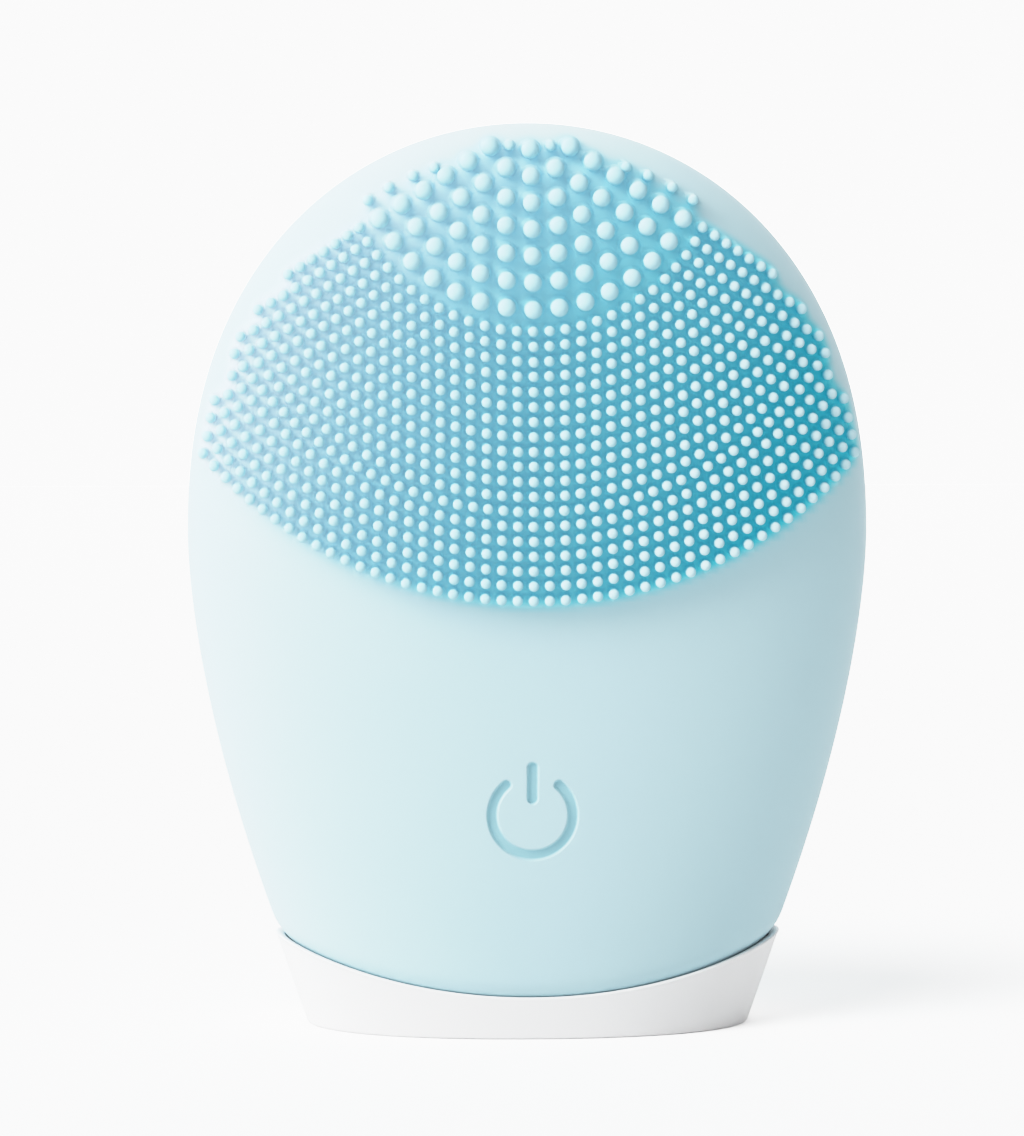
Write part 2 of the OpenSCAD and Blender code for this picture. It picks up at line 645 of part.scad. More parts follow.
module motor_end_cap() {
  difference() {
    union() {
      cyl_z(0, motor_y, motor_z, motor_z + 1.48, motor_radius - 0.1);
      cyl_z(0, motor_y, motor_z + 1.4, motor_z + 3, motor_radius - 0.55);
      // lead tabs
      for (x = [-3, 3])
        box([x - 0.8, motor_y - 0.2, motor_z - 1.6], [x + 0.8, motor_y + 0.2, motor_z + 0.1]);
    }
    cyl_z(0, motor_y, motor_z + 0.8, motor_z + 5, shaft_bore);
  }
}
module motor_clamp() {
  difference() {
    union() {
      cyl_z(0, motor_y, 64.5, 69.5, motor_radius + 0.85);
      for (p = clamp_xz) cyl_y(p[0], p[1], clamp_front, clamp_back, 2.3);
      box([-9.2, clamp_front, 64.7], [9.2, clamp_back, 69.3]);
    }
    cyl_z(0, motor_y, 60, 75, motor_seat);
    box([-12, clamp_back, 60], [12, 0, 75]);
    for (p = clamp_xz) cyl_y(p[0], p[1], motor_y - 3, 0, 1.05);
  }
}
module motor_clamp_screws() {
  for (p = clamp_xz)
    screw_y(p, [motor_y - 1.95, motor_y - 0.97, 1.6], [motor_y - 1.1, -2.8, 0.8],
      [motor_y - 2, motor_y - 1.6, 0.95], 0.16);
}
module motor_leads() {
  for (s = [-1, 1])
    wire([[s * 3, motor_y + 0.75, motor_z - 0.9], [s * 2.6, motor_y + 1.2, motor_z - 4],
      [s * 0.9, -4.6, 48], [s * 0.9, -4.4, 43.6]], 0.4);
}
module motor_shaft() { cyl_z(0, motor_y, motor_z + 1, 83.4, shaft_radius); }
module eccentric_weight() {
  difference() {
    union() {
      cyl_z(0, motor_y, weight_bottom, weight_top, 1.7);
      intersection() {
        cyl_z(0, motor_y, weight_bottom, weight_top, weight_radius);
        box([-6, motor_y - 6, 77], [6, motor_y + 0.2, 84]);
      }
    }
    cyl_z(0, motor_y, 70, 90, shaft_radius);
  }
}

// ---- power button
membrane_back = -14.2;
// Lean of the front skin at the button
tilt = atan((half_depth(button_height + 2, front_depth, 0)
  - half_depth(button_height - 2, front_depth, 0)) / 4);
// A ring open at the top, with round ends, and an upright bar in the opening
module power_icon() {
  gap = 37.7; // half angle of the opening
  end_radius = icon_stroke / 2;
  difference() {
    circle(r = icon_radius + end_radius);
    circle(r = icon_radius - end_radius);
    polygon([[0, 0], [12 * sin(gap), 12 * cos(gap)], [0, 16], [-12 * sin(gap), 12 * cos(gap)]]);
  }
  for (s = [-1, 1])
    translate([s * icon_radius * sin(gap), icon_radius * cos(gap)]) circle(r = end_radius);
  translate([-end_radius, icon_radius * 0.41]) square([icon_stroke, icon_radius * 0.8]);
  for (t = [0.41, 1.21]) translate([0, icon_radius * t]) circle(r = end_radius);
}
module button_membrane() {
  angles = full_turn(40);
  front_y = -skin(0, button_height, front_depth);
  front = [for (t = [0.25, 0.5, 0.75, 1]) [for (a = angles)
    let (x = button_radius * t * cos(a), z = button_height + button_radius * t * sin(a))
    [x, -skin(x, z, front_depth), z]]];
  back = [for (a = angles)
    [button_radius * cos(a), membrane_back, button_height + button_radius * sin(a)]];
  difference() {
    loft(concat(front, [back]), [0, front_y, button_height], [0, membrane_back, button_height]);
    translate([0, front_y + icon_depth, button_height]) rotate([90 - tilt, 0, 0])
      linear_extrude(3) power_icon();
  }
}
module button_plunger() {
  cyl_y(0, button_height, membrane_back + 0.02, -12.9, button_radius - 0.2);
  cyl_y(0, button_height, -13, -11.23, 2);
  cross_y([0, button_height], [-13, -12.2], 7, 0.4);
}
module switch_stem() { cyl_y(0, button_height, -11.2, -9.8, 1.6); }

stand_shell();
stand_bottom_cover();
stand_base_pad();
stand_screws();
stand_pcb();
stand_pcb_parts();
usb_socket();
transmit_coil();
transmit_ferrite();
transmit_leads();
silicone_sleeve();
upper_fine_bristles();
lower_fine_bristles();
large_bristles();
front_shell();
rear_shell();
shell_screws();
chassis();
main_pcb();
main_pcb_parts();
pcb_screws();
tact_switch();
status_led();
battery_cell();
battery_tape();
battery_leads();
receive_coil();
receive_ferrite();
receive_leads();
motor_can();
motor_end_cap();
motor_clamp();
motor_clamp_screws();
motor_leads();
button_membrane();
button_plunger();
switch_stem();
motor_shaft();
eccentric_weight();
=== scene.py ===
"""A flat egg-shaped silicone handpiece with touch-points on its upper front, upright on its stand.

Z is up, X runs across and the front faces -Y. The origin is under the middle of the stand.
Shapes are worked out in millimetres and turned into metres when a mesh is made.
"""
import math
import random
import bpy
import numpy as np
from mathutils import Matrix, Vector, kdtree


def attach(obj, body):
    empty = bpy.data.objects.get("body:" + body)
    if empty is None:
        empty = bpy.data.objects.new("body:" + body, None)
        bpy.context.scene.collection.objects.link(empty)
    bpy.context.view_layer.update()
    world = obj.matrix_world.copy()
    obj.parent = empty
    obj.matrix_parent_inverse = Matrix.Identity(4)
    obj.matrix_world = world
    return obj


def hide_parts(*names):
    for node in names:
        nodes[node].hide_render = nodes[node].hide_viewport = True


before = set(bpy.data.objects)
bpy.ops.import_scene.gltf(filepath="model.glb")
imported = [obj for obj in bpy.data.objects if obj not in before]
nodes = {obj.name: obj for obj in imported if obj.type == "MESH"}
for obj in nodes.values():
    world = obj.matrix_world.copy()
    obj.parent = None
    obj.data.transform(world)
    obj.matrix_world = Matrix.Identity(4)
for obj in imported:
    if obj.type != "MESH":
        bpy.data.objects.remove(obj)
scene = bpy.context.scene
MM = 0.001


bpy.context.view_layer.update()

# ------------------------------------------------------------------ driving sizes (mm)
HEIGHT, HALF_WIDTH, WIDEST_Z = 106.3, 40.1, 57.9
FRONT_DEPTH, REAR_DEPTH = 17.5, 16.0
SECTION_POWER = 2.25                      # superellipse power of the level sections
UPPER_POWER_Z, UPPER_POWER_X = 2.285, 2.024   # superellipse powers of the outline's upper part
WIDTH_TAPER = (0.372, 1.64)               # share lost at z = 0, power of the loss
DEPTH_TAPER = (0.171, 1.6)
EDGE_ROUND = 3.0                          # bottom edge of the handpiece
SLEEVE_WALL = 1.6

RIM_Z, BOW_R, POCKET = 4.95, 77.0, 1.0    # stand rim, its bow along X, depth of its pocket
FLOOR_Z = RIM_Z - POCKET
BOSS_RX, BOSS_RY, BOSS_Z = 8.8, 5.0, 9.5  # elliptical boss in the middle of the stand
BOSS_GAP = 0.5
WELL_RX, WELL_RY, WELL_Z = BOSS_RX + BOSS_GAP, BOSS_RY + BOSS_GAP, BOSS_Z + BOSS_GAP
WELL_LIP = 0.5                            # rounding at the mouth of the well

BUTTON_Z, BUTTON_R, BUTTON_SIDES = 26.5, 8.8, 384
BUTTON_BACK_Y = -14.2
ICON_DEPTH, ICON_STRETCH = 0.42, 0.995

ROWS_Z = 104.95                           # centre of the rows' arcs
FINE_TOP = ROWS_Z - 22.58
FINE_ROW, FINE_PITCH = 1.71, 1.81         # row spacing, nominal spacing along a row
LARGE_R0, LARGE_ROW, LARGE_PITCH = 20.05, 3.04, 3.04
FIELD_SIDE, FIELD_FOOT, FIELD_HEAD = 44, 44, 110  # box round the touch-point field


# ------------------------------------------------------------------ handpiece outline
def upper_share(z, inset):
    t = np.clip((z - WIDEST_Z) / (HEIGHT - inset - WIDEST_Z), 0, 1)
    return np.power(np.clip(1 - t**UPPER_POWER_Z, 0, 1), 1 / UPPER_POWER_X)


def extent(z, size, taper, inset):
    loss, power = taper
    z = np.asarray(z, float)
    t = np.clip((WIDEST_Z - z) / WIDEST_Z, 0, None)
    lower = size * (1 - loss * t**power) - inset
    return np.where(z > WIDEST_Z, (size - inset) * upper_share(z, inset), lower)


def half_width(z, inset=0.0):
    return extent(z, HALF_WIDTH, WIDTH_TAPER, inset)


def half_depth(z, depth, inset=0.0):
    return extent(z, depth, DEPTH_TAPER, inset)


def depth_at(angles):
    return np.where(np.sin(angles) < 0, FRONT_DEPTH, REAR_DEPTH)


def section(v):
    """Turns a cosine or sine into the superellipse's coordinate."""
    return np.sign(v) * np.abs(v) ** (2 / SECTION_POWER)


def bow(x):
    """Rise of the rim and floor towards the sides."""
    return BOW_R - np.sqrt(BOW_R**2 - np.asarray(x, float) ** 2)


def front_depth(x, z, inset=0.0):
    """How far the front surface stands in front of y = 0."""
    share = np.clip(np.abs(x) / np.maximum(half_width(z, inset), 1e-3), 0, 1)
    curve = np.power(np.clip(1 - share**SECTION_POWER, 0, 1), 1 / SECTION_POWER)
    return half_depth(z, FRONT_DEPTH, inset) * curve


def smoothstep(t):
    return t * t * (3 - 2 * t)


# ------------------------------------------------------------------ rings and meshes
def ring_angles(n):
    return np.arange(n) * 2 * np.pi / n


def ring(x, y, z):
    return np.stack(np.broadcast_arrays(x, y, z), 1)


def ellipse(angles, rx, ry, z):
    return ring(rx * np.cos(angles), ry * np.sin(angles), z)


def circle_y(x, y, z, r, n):
    """Circle about an axis parallel to Y."""
    angles = ring_angles(n)
    return ring(x + r * np.cos(angles), y, z + r * np.sin(angles))


def floor_ring(angles, edge, t, rx, ry, z, rise=0.0):
    """Ring on a bowed floor, from its edge (t = 0) to an ellipse in the middle (t = 1)."""
    x = edge[:, 0] * (1 - t) + rx * np.cos(angles) * t
    y = edge[:, 1] * (1 - t) + ry * np.sin(angles) * t
    return ring(x, y, z + bow(x) + rise)


def loft(rings, first, last):
    """Closed skin over the rings, with a fan to a point at each end."""
    n, k = len(rings[0]), len(rings)
    verts = np.vstack(rings + [np.array([first, last], float)])
    faces = [(i, (i + 1) % n, k * n) for i in range(n)]
    for j in range(k - 1):
        for i in range(n):
            i2 = (i + 1) % n
            faces.append((j * n + i, (j + 1) * n + i, (j + 1) * n + i2, j * n + i2))
    faces += [((k - 1) * n + (i + 1) % n, (k - 1) * n + i, k * n + 1) for i in range(n)]
    return verts, faces


def strand_faces(n, k, base):
    """Faces of one closed strand of k rings of n, its two end points last, from index base."""
    faces = []
    for i in range(n):
        i2 = (i + 1) % n
        faces.append((base + k * n, base + i, base + i2))
        faces.append((base + k * n + 1, base + (k - 1) * n + i2, base + (k - 1) * n + i))
        for j in range(k - 1):
            low, high = base + j * n, base + (j + 1) * n
            faces.append((low + i, high + i, high + i2, low + i2))
    return faces


def prism(start, end):
    """Solid between two equal loops."""
    n = len(start)
    faces = [tuple(range(n)), tuple(range(2 * n - 1, n - 1, -1))]
    faces += [(i, n + i, n + (i + 1) % n, (i + 1) % n) for i in range(n)]
    return np.vstack([start, end]), faces


def cylinder_z(x, z0, z1, r, n):
    angles = ring_angles(n)
    verts = np.vstack([ring(x + r * np.cos(angles), r * np.sin(angles), z) for z in (z0, z1)])
    faces = [tuple(range(n - 1, -1, -1)), tuple(range(n, 2 * n))]
    faces += [(i, (i + 1) % n, n + (i + 1) % n, n + i) for i in range(n)]
    return verts, faces


def coords(mesh):
    flat = np.empty(len(mesh.vertices) * 3)
    mesh.vertices.foreach_get("co", flat)
    return flat.reshape(-1, 3)


def solid(name, verts, faces):
    """Object from a closed mesh in mm, smooth and with its faces pointing outwards."""
    mesh = bpy.data.meshes.new(name)
    mesh.from_pydata((np.asarray(verts) * MM).tolist(), [], faces)
    mesh.update()
    mesh.validate()
    obj = bpy.data.objects.new(name, mesh)
    scene.collection.objects.link(obj)
    mesh.shade_smooth()
    mesh.calc_loop_triangles()
    corners = np.empty(len(mesh.loop_triangles) * 3, np.int32)
    mesh.loop_triangles.foreach_get("vertices", corners)
    p = coords(mesh)[corners.reshape(-1, 3)]
    volume = np.einsum("ij,ij->i", p[:, 0], np.cross(p[:, 1], p[:, 2])).sum()
    if volume < 0:
        mesh.flip_normals()
    return obj


def boolean(obj, tool, operation):
    """Applies the tool to the object and removes the tool."""
    modifier = obj.modifiers.new("b", "BOOLEAN")
    modifier.operation = operation
    modifier.object = tool
    modifier.solver = "MANIFOLD"
    bpy.context.view_layer.update()
    depsgraph = bpy.context.evaluated_depsgraph_get()
    mesh = bpy.data.meshes.new_from_object(obj.evaluated_get(depsgraph))
    obj.modifiers.remove(modifier)
    old_mesh, tool_mesh = obj.data, tool.data
    obj.data = mesh
    bpy.data.meshes.remove(old_mesh)
    bpy.data.objects.remove(tool)
    bpy.data.meshes.remove(tool_mesh)


def put_attr(mesh, name, values):
    attribute = mesh.attributes.new(name, "FLOAT", "POINT")
    attribute.data.foreach_set("value", np.asarray(values, np.float32))


def mark_sharp(mesh, chosen):
    """Marks the edges that join two chosen vertices as sharp."""
    ends = np.empty(len(mesh.edges) * 2, np.int32)
    mesh.edges.foreach_get("vertices", ends)
    ends = ends.reshape(-1, 2)
    attributes = mesh.attributes
    sharp = attributes.get("sharp_edge") or attributes.new("sharp_edge", "BOOLEAN", "EDGE")
    sharp.data.foreach_set("value", chosen[ends[:, 0]] & chosen[ends[:, 1]])


# ------------------------------------------------------------------ touch-points
def fine_points():
    points = []
    for k in range(19):
        row_z = ROWS_Z - 1 + max(0, 1 - 0.15 * k)
        radius = row_z - FINE_TOP + FINE_ROW * k
        # the spacing opens away from row 8, and row 12 is set closer
        pitch = 1.8 + (0.001 if k < 8 else 0.0005) * (k - 8) ** 2
        step = pitch * (0.965 if k == 12 else 1) / radius
        for i in range(-24, 25):
            x, z = radius * math.sin(i * step), row_z - radius * math.cos(i * step)
            margin = 1.38 + 0.0038 * max(0, z - 68) ** 2
            if abs(x) < float(half_width(z, margin)):
                points.append((x, z))
    # pairs that follow the top edge
    for x in (2.4, 11.1, 13.6, 16.4, 18.8):
        inset = 2.6 if x < 5 else 3.4
        share = (1 - (x / (HALF_WIDTH - inset)) ** UPPER_POWER_X) ** (1 / UPPER_POWER_Z)
        z = WIDEST_Z + (HEIGHT - inset - WIDEST_Z) * share
        points += [(x, z), (-x, z)]
    return points


def large_points():
    points = []
    for k in range(7):
        radius = LARGE_R0 - LARGE_ROW * k
        step = LARGE_PITCH / radius
        half_fan = 62.6 + 3.2 * max(0, k - 2)
        for i in range(-7, 8):
            if abs(math.degrees(i * step)) < half_fan:
                z = ROWS_Z - radius * math.cos(i * step)
                points.append((radius * math.sin(i * step), z))
    return points


fine, large = fine_points(), large_points()
lean_random = random.Random(7)

# foot of a touch-point: share of its radius, height above the skin
BRISTLE_FOOT = [(1.34, -0.1), (1.24, 0.06), (1.15, 0.2), (1.08, 0.5), (1.02, 1.0)]
BRISTLE_TIP = (0, 15, 32, 48, 62, 76)     # angles of the rings on the round tip
ROOT_INSET, LEAN_START, LEAN_SPREAD = 0.8, 1.2, 0.012


def bristle_mesh(points, r, length, n):
    """Touch-points with round tips, each leaning a little its own way."""
    verts, faces = [], []
    base = 0
    for x, z in points:
        foot = float(front_depth(x, z))
        root = float(front_depth(x, z, ROOT_INSET))
        tip = foot + length
        profile = [(r * 1.2, root)]
        profile += [(r * share, foot + rise) for share, rise in BRISTLE_FOOT]
        profile.append((r * 0.97, tip - r * 1.35))
        for degrees in BRISTLE_TIP:
            turn = math.radians(degrees)
            profile.append((r * math.cos(turn), tip - r * 0.92 + r * 0.92 * math.sin(turn)))
        lean_x = lean_random.gauss(0, LEAN_SPREAD)
        lean_z = lean_random.gauss(0, LEAN_SPREAD)
        rings = []
        for radius, depth in profile:
            run = max(0, depth - root - LEAN_START)
            rings.append(circle_y(x + lean_x * run, -depth, z + lean_z * run, radius, n))
        end = rings[-1]
        ends = np.array([[x, -root, z], [end[:, 0].mean(), -tip, end[:, 2].mean()]])
        verts += rings + [ends]
        faces += strand_faces(n, len(rings), base)
        base += len(rings) * n + 2
    return np.vstack(verts), faces


# ------------------------------------------------------------------ silicone skin
def egg_ring(angles, z, inset, pull=0, bend=0):
    """Level section, pulled inwards and bent up at the sides by a share of the bow."""
    cos, sin = section(np.cos(angles)), section(np.sin(angles))
    level = np.full_like(angles, z)
    for _ in range(5):
        level = z + bend * bow((half_width(level, inset) - pull) * cos)
    depth = half_depth(level, depth_at(angles), inset)
    return ring((half_width(level, inset) - pull) * cos, (depth - pull) * sin, level)


def egg(name, inset, sides, upper_steps, lower_steps, edge_steps):
    """Handpiece body with the well for the stand's boss in its underside."""
    angles = ring_angles(sides)
    floor_z = FLOOR_Z + inset
    edge_r = max(0.8, EDGE_ROUND - inset)
    edge_z = floor_z + edge_r
    rx, ry, well_z = WELL_RX + inset, WELL_RY + inset, WELL_Z + inset
    rings = []
    for i in range(1, upper_steps + 1):
        share = math.cos(math.pi / 2 * i / upper_steps)
        rings.append(egg_ring(angles, WIDEST_Z + (HEIGHT - inset - WIDEST_Z) * share, inset))
    for i in range(1, lower_steps + 1):
        z = WIDEST_Z + (edge_z - WIDEST_Z) * i / lower_steps
        bend = ((WIDEST_Z - z) / (WIDEST_Z - edge_z)) ** 2
        rings.append(egg_ring(angles, z, inset, 0, bend))
    for i in range(1, edge_steps + 1):
        turn = math.pi / 2 * i / edge_steps
        z = floor_z + edge_r * (1 - math.sin(turn))
        rings.append(egg_ring(angles, z, inset, edge_r * (1 - math.cos(turn)), 1))
    # underside, rounded mouth of the well, its wall and its roof
    edge = rings[-1]
    for t in np.linspace(0.1, 1, 10):
        rings.append(floor_ring(angles, edge, t, rx + WELL_LIP, ry + WELL_LIP, floor_z))
    for turn in (0.4, 0.8, 1.2, 1.57):
        out, rise = WELL_LIP * (1 - math.sin(turn)), WELL_LIP * (1 - math.cos(turn))
        rings.append(floor_ring(angles, edge, 1, rx + out, ry + out, floor_z, rise))
    foot = floor_ring(angles, edge, 1, rx, ry, floor_z, WELL_LIP)[:, 2]
    for t in (0.3, 0.6, 0.8):
        rings.append(ellipse(angles, rx, ry, foot * (1 - t) + well_z * t))
    chamfer = 0.3
    rings.append(ellipse(angles, rx, ry, well_z - chamfer))
    for share in (1, 0.66, 0.33):
        rings.append(ellipse(angles, (rx - chamfer) * share, (ry - chamfer) * share, well_z))
    return solid(name, *loft(rings, [0, 0, HEIGHT - inset], [0, 0, well_z]))


def field_density(x, z):
    """How closely a place is surrounded by touch-points: 1 inside the field, 0 well outside."""
    cell, spread, reach = 0.2, 1.05, 18
    grid_x = np.arange(-FIELD_SIDE, FIELD_SIDE, cell)
    grid_z = np.arange(FIELD_FOOT, FIELD_HEAD, cell)
    grid = np.zeros((len(grid_z), len(grid_x)))
    for points, room in ((fine, FINE_ROW * FINE_PITCH), (large, LARGE_ROW * LARGE_PITCH)):
        weight = room / (2 * math.pi * spread * spread)
        for px, pz in points:
            row, col = int((pz - FIELD_FOOT) / cell), int((px + FIELD_SIDE) / cell)
            rows = np.arange(max(0, row - reach), min(len(grid_z), row + reach + 1))
            cols = np.arange(max(0, col - reach), min(len(grid_x), col + reach + 1))
            square = (grid_z[rows][:, None] - pz) ** 2 + (grid_x[cols][None] - px) ** 2
            grid[np.ix_(rows, cols)] += weight * np.exp(-square / (2 * spread * spread))
    # bilinear reading of the grid
    u = np.clip((x + FIELD_SIDE) / cell, 0, len(grid_x) - 2)
    w = np.clip((z - FIELD_FOOT) / cell, 0, len(grid_z) - 2)
    j, i = u.astype(int), w.astype(int)
    fu, fw = u - j, w - i
    low = grid[i, j] * (1 - fu) + grid[i, j + 1] * fu
    high = grid[i + 1, j] * (1 - fu) + grid[i + 1, j + 1] * fu
    return low * (1 - fw) + high * fw


def paint_skin(mesh):
    """Attributes for the material: painted shade inside the field, painted light up a touch-point,
    and the icon.
    """
    points = coords(mesh) / MM
    x, y, z = points.T
    lookup = kdtree.KDTree(len(fine) + len(large))
    for i, (px, pz) in enumerate(fine + large):
        lookup.insert((px, 0, pz), i)
    lookup.balance()
    front = (y < 0) & (z > FIELD_FOOT)
    near = np.array([lookup.find((p[0], 0, p[2]))[2] if on_front else 99.0
                     for p, on_front in zip(points, front)])
    height = -y - front_depth(x, z)
    # painted shade: the field mask colours the silicone deeper teal where the touch-points crowd,
    # fading out just past the last rows
    field = smoothstep(np.clip((field_density(x, z) - 0.22) / 0.5, 0, 1)) * front
    put_attr(mesh, "field", field)
    # painted light: a touch-point is coloured paler up towards its tip
    put_attr(mesh, "tip", np.clip((height - 0.15) / 2.2, 0, 1) * (near < 1.35) * front)
    put_attr(mesh, "icon", np.zeros(len(points)))
    # sharp edge round the button hole
    from_button = np.hypot(x, z - BUTTON_Z)
    mark_sharp(mesh, (np.abs(from_button - BUTTON_R) < 0.02) & (y < -10))


def build_skin():
    """Hollow sleeve and all touch-points as one mesh, with a hole for the button pad."""
    skin = egg("silicone_skin", 0, 288, 76, 84, 10)
    boolean(skin, egg("inner", SLEEVE_WALL, 96, 24, 26, 5), "DIFFERENCE")
    # radius, length, sides
    for points, *sizes in ((fine, 0.6, 2.6, 14), (large, 1.03, 3.1, 20)):
        boolean(skin, solid("bristles", *bristle_mesh(points, *sizes)), "UNION")
    hole = [circle_y(0, y, BUTTON_Z, BUTTON_R, BUTTON_SIDES) for y in (-30, -8)]
    boolean(skin, solid("hole", *prism(*hole)), "DIFFERENCE")
    skin.data.shade_smooth()
    paint_skin(skin.data)
    return skin


# ------------------------------------------------------------------ button pad
def icon_distance(x, z):
    """Distance outside the power symbol's strokes (negative inside)."""
    z = (z - BUTTON_Z) / ICON_STRETCH
    arc_r, half_arc, gap = 4.68, 1.16 / 2, math.radians(40.5)
    bar_low, bar_high, half_bar = 1.95, 5.62, 0.61
    along_arc = np.abs(np.hypot(x, z) - arc_r) - half_arc
    arc_end = np.hypot(np.abs(x) - arc_r * math.sin(gap), z - arc_r * math.cos(gap)) - half_arc
    arc = np.where(np.abs(np.arctan2(x, z)) > gap, along_arc, arc_end)
    bar = np.hypot(x, z - np.clip(z, bar_low, bar_high)) - half_bar
    return np.minimum(arc, bar)


def build_pad():
    """Round pad that carries on the front surface, with the power symbol sunk into it."""
    ring_count = 110
    rings = []
    for r in np.linspace(0, BUTTON_R, ring_count + 1)[1:]:
        pad_ring = circle_y(0, 0, BUTTON_Z, r, BUTTON_SIDES)
        x, z = pad_ring[:, 0], pad_ring[:, 2]
        sunk = smoothstep(np.clip((0.12 - icon_distance(x, z)) / 0.26, 0, 1))
        rings.append(ring(x, -front_depth(x, z) + ICON_DEPTH * sunk, z))
    rim = rings[-1]
    for y in (-15.6, -15.0, BUTTON_BACK_Y):
        rings.append(circle_y(0, y, BUTTON_Z, BUTTON_R, BUTTON_SIDES))
    rings[-3][:, 1] = np.maximum(rings[-3][:, 1], rim[:, 1] + 0.2)
    front_centre = [0, -float(front_depth(0, BUTTON_Z)), BUTTON_Z]
    pad = solid("button_pad", *loft(rings, front_centre, [0, BUTTON_BACK_Y, BUTTON_Z]))

    mesh = pad.data
    points = coords(mesh) / MM
    front_count = ring_count * BUTTON_SIDES
    icon = np.clip((0.1 - icon_distance(points[:, 0], points[:, 2])) / 0.3, 0, 1)
    icon[front_count:-2] = 0
    put_attr(mesh, "field", np.zeros(len(points)))
    put_attr(mesh, "tip", np.zeros(len(points)))
    put_attr(mesh, "icon", icon)
    on_rim = np.zeros(len(points), bool)
    on_rim[front_count - BUTTON_SIDES:front_count] = True
    mark_sharp(mesh, on_rim)
    return pad


# ------------------------------------------------------------------ stand
def stand_half_width(z):
    return half_width(z) + 0.4 + 0.6 * np.clip(1 - z / 11.4, 0, None) ** 1.2


def stand_wall(angles, z, inset_x, inset_y=None):
    if inset_y is None:
        inset_y = inset_x
    z = z + 0 * angles
    depth = half_depth(z, depth_at(angles)) + 0.2 * np.clip(1 - z / 6, 0, None)
    x = (stand_half_width(z) - inset_x) * section(np.cos(angles))
    return ring(x, (depth - inset_y) * section(np.sin(angles)), z)


def stand_rim(angles, inset, rise):
    """Wall section that follows the bowed rim; the rim is wider at the sides."""
    inset_x = inset * 1.55 if inset < 0.7 else inset
    z = np.full_like(angles, 8.0)
    for _ in range(5):
        z = RIM_Z + bow((stand_half_width(z) - inset_x) * section(np.cos(angles)))
    rim = stand_wall(angles, z, inset_x, inset)
    rim[:, 2] += rise
    return rim


def stand_body():
    angles = ring_angles(256)
    floor_drop, ceiling_drop = POCKET + 0.1, POCKET + 1.1
    rim_width, wall = 0.64, 1.6
    boss_round, boss_wall = 0.6, 1.2
    inner_round, outer_round = 0.1, 0.3   # edges of the rim
    foot_z, foot_round = 0.08, 0.22
    rings = []
    # boss, from the middle of its top down
    rx, ry = BOSS_RX - boss_round, BOSS_RY - boss_round
    for share in (0.3, 0.65, 0.9):
        rings.append(ellipse(angles, rx * share, ry * share, BOSS_Z))
    for turn in np.radians(np.linspace(0, 90, 7)):
        out = boss_round * math.sin(turn)
        z = BOSS_Z - boss_round + boss_round * math.cos(turn)
        rings.append(ellipse(angles, rx + out, ry + out, z))
    # floor of the pocket, outwards to the rim
    edge = stand_rim(angles, rim_width, 0)
    for t in np.linspace(1, 0, 12):
        rings.append(floor_ring(angles, edge, t, BOSS_RX, BOSS_RY, RIM_Z, -floor_drop))
    rings.append(stand_rim(angles, rim_width, -0.7))
    rings.append(stand_rim(angles, rim_width, -0.3))
    for turn in np.radians(np.linspace(0, 90, 5)):
        inset = rim_width - inner_round + inner_round * math.cos(turn)
        rings.append(stand_rim(angles, inset, -inner_round + inner_round * math.sin(turn)))
    for turn in np.radians(np.linspace(90, 10, 9)):
        inset = outer_round - outer_round * math.cos(turn)
        rings.append(stand_rim(angles, inset, -outer_round + outer_round * math.sin(turn)))
    # outer wall down to the rounded foot
    top_z = stand_rim(angles, 0, -outer_round)[:, 2]
    for t in np.linspace(0, 1, 22):
        rings.append(stand_wall(angles, top_z * (1 - t) + (foot_z + foot_round) * t, 0))
    for turn in np.radians(np.linspace(15, 90, 6)):
        z = foot_z + foot_round * (1 - math.sin(turn))
        rings.append(stand_wall(angles, z, foot_round * (1 - math.cos(turn))))
    # stepped underside, inner wall, ceiling and the hollow of the boss
    for z, inset in ((foot_z, 0.5), (0.4, 0.62), (0.4, wall), (0.9, wall)):
        rings.append(stand_wall(angles, z, inset))
    ceiling_z = stand_rim(angles, wall, -ceiling_drop)[:, 2]
    rings.append(stand_wall(angles, np.maximum(1.3, ceiling_z * 0.5), wall))
    edge = stand_rim(angles, wall, 0)
    rx, ry, top = BOSS_RX - boss_wall, BOSS_RY - boss_wall, BOSS_Z - boss_wall
    for t in np.linspace(0, 1, 8):
        rings.append(floor_ring(angles, edge, t, rx, ry, RIM_Z, -ceiling_drop))
    rings.append(ellipse(angles, rx, ry, top))
    return solid("stand_body", *loft(rings, [0, 0, BOSS_Z], [0, 0, top]))


def socket_outline(y):
    """Rounded rectangle of the socket opening."""
    points = []
    for side_x, side_z, start in ((1, 1, 0), (-1, 1, 90), (-1, -1, 180), (1, -1, 270)):
        for q in range(7):
            turn = math.radians(start + q * 15)
            x = side_x * 3.45 + 0.5 * math.cos(turn)
            points.append((x, y, 1.72 + side_z * 0.7 + 0.5 * math.sin(turn)))
    return points


def build_stand():
    """Hollow stand with two bored posts under its ceiling and a socket opening at the back."""
    stand = stand_body()
    for x in (-21, 21):
        boolean(stand, solid("post", *cylinder_z(x, 1.25, 6.1, 2.2, 48)), "UNION")
        boolean(stand, solid("bore", *cylinder_z(x, 0.8, 5, 0.83, 32)), "DIFFERENCE")
    opening = prism(socket_outline(11), socket_outline(16))
    boolean(stand, solid("opening", *opening), "DIFFERENCE")
    stand.data.shade_smooth()
    stand.data.set_sharp_from_angle(angle=math.radians(50))
    return stand


# ------------------------------------------------------------------ shader helpers
def new_material(name):
    material = bpy.data.materials.new(name)
    material.use_nodes = True
    tree = material.node_tree
    return material, tree, tree.nodes["Principled BSDF"]


def feed(tree, socket, value):
    """Links a socket, or sets a colour (a tuple) or a number."""
    if isinstance(value, bpy.types.NodeSocket):
        tree.links.new(value, socket)
    else:
        socket.default_value = (*value, 1) if isinstance(value, tuple) else value


